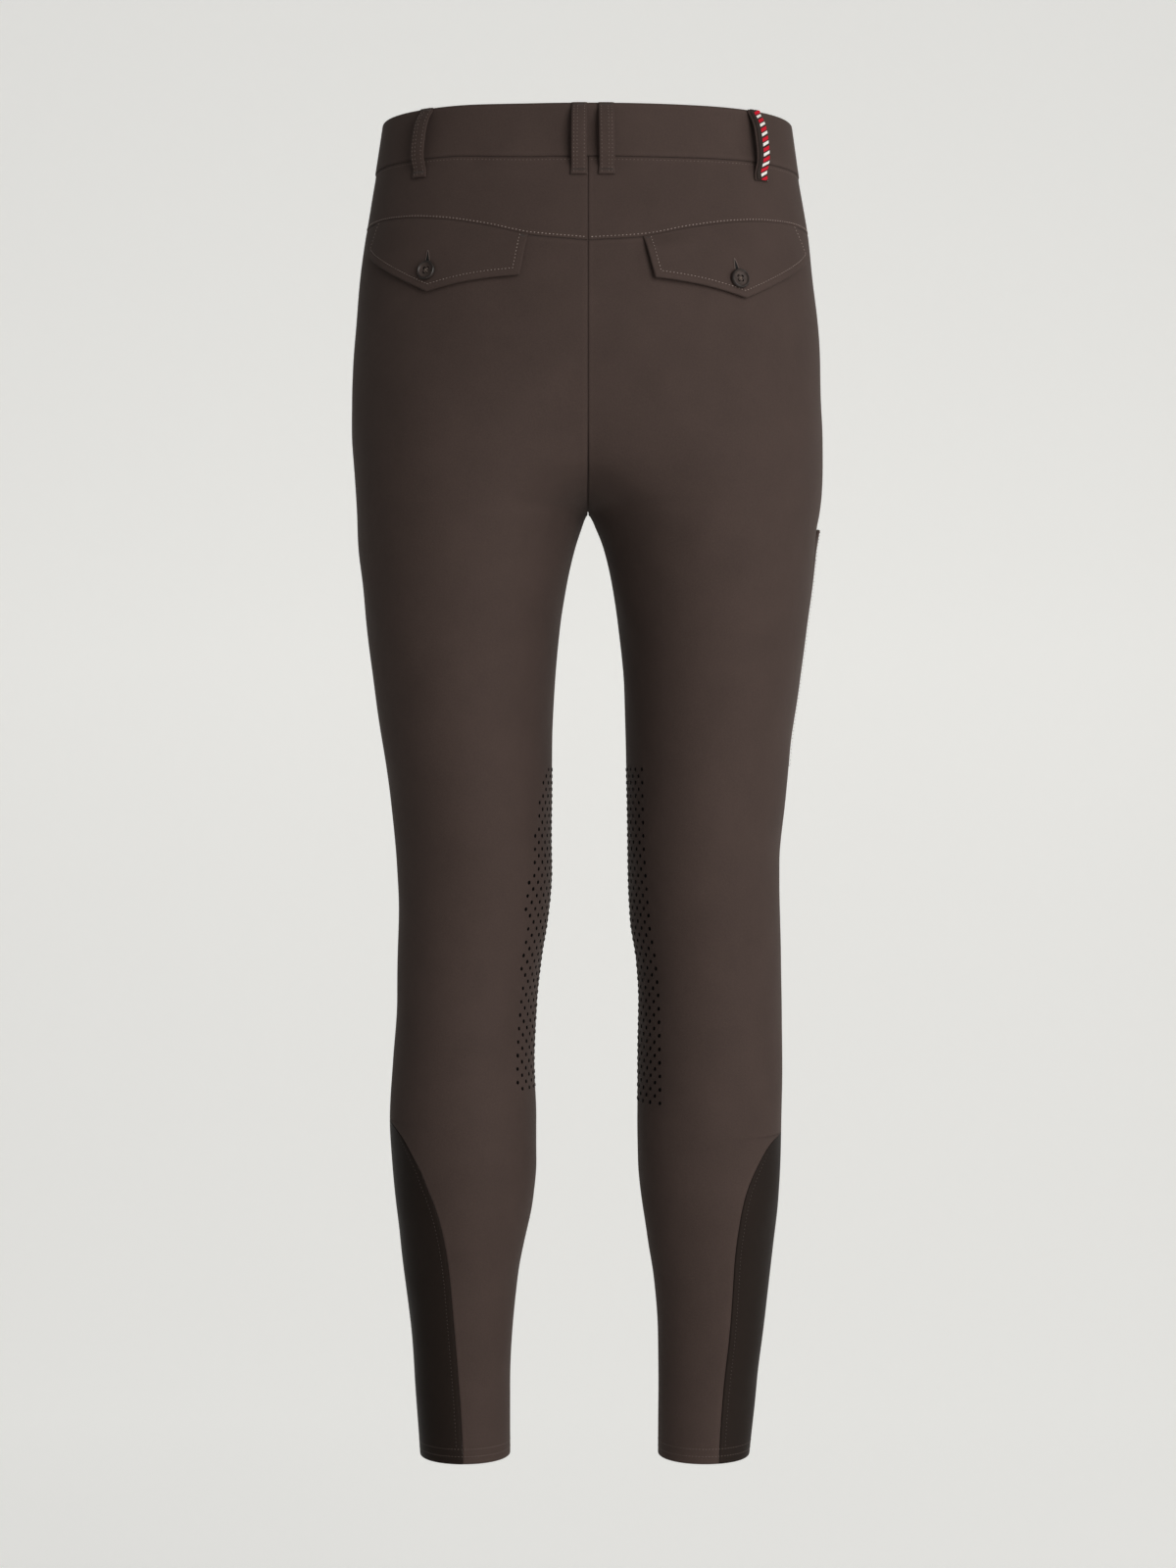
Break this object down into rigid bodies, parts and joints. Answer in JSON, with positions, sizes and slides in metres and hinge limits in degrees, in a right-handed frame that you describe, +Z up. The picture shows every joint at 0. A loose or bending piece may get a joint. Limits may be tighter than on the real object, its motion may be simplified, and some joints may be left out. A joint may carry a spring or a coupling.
{
  "type": "riding breeches",
  "caption": "Men's riding breeches, filled out as worn: waistband with belt loops, yoke, buttoned pocket flaps, side pocket, tapered legs with stretch panels at the calves.",
  "frame": {"origin": "middle of the waist opening, at half the height of the waistband", "axes": "+Z up towards the waist opening, +Y towards the wearer's front, +X towards the wearer's right"},
  "size_m": [0.3573, 0.2401, 1.0169],
  "materials": {
    "cloth": "matt dark brown stretch twill with a slight sheen",
    "stretch_cloth": "matt darker brown elastic knit",
    "button": "dark brown resin, satin face and polished rim",
    "tape": "woven ribbon, red and white bars on dark brown"
  },
  "bodies": {
    "root": {"back_left": "cloth", "back_right": "cloth", "calf_panel_left": "stretch_cloth", "calf_panel_right": "stretch_cloth", "flap_button_left": "button", "flap_button_right": "button", "flap_left": "cloth", "flap_right": "cloth", "front_left": "cloth", "front_right": "cloth", "loop_back_left": "cloth", "loop_back_right": "cloth", "loop_front_left": "cloth", "loop_front_right": "cloth", "loop_side_left": "cloth", "loop_side_right": "cloth", "loop_tape": "tape", "thigh_pocket": "cloth", "waist_button": "button", "waistband": "cloth", "yoke_left": "cloth", "yoke_right": "cloth"}
  },
  "joints": []
}
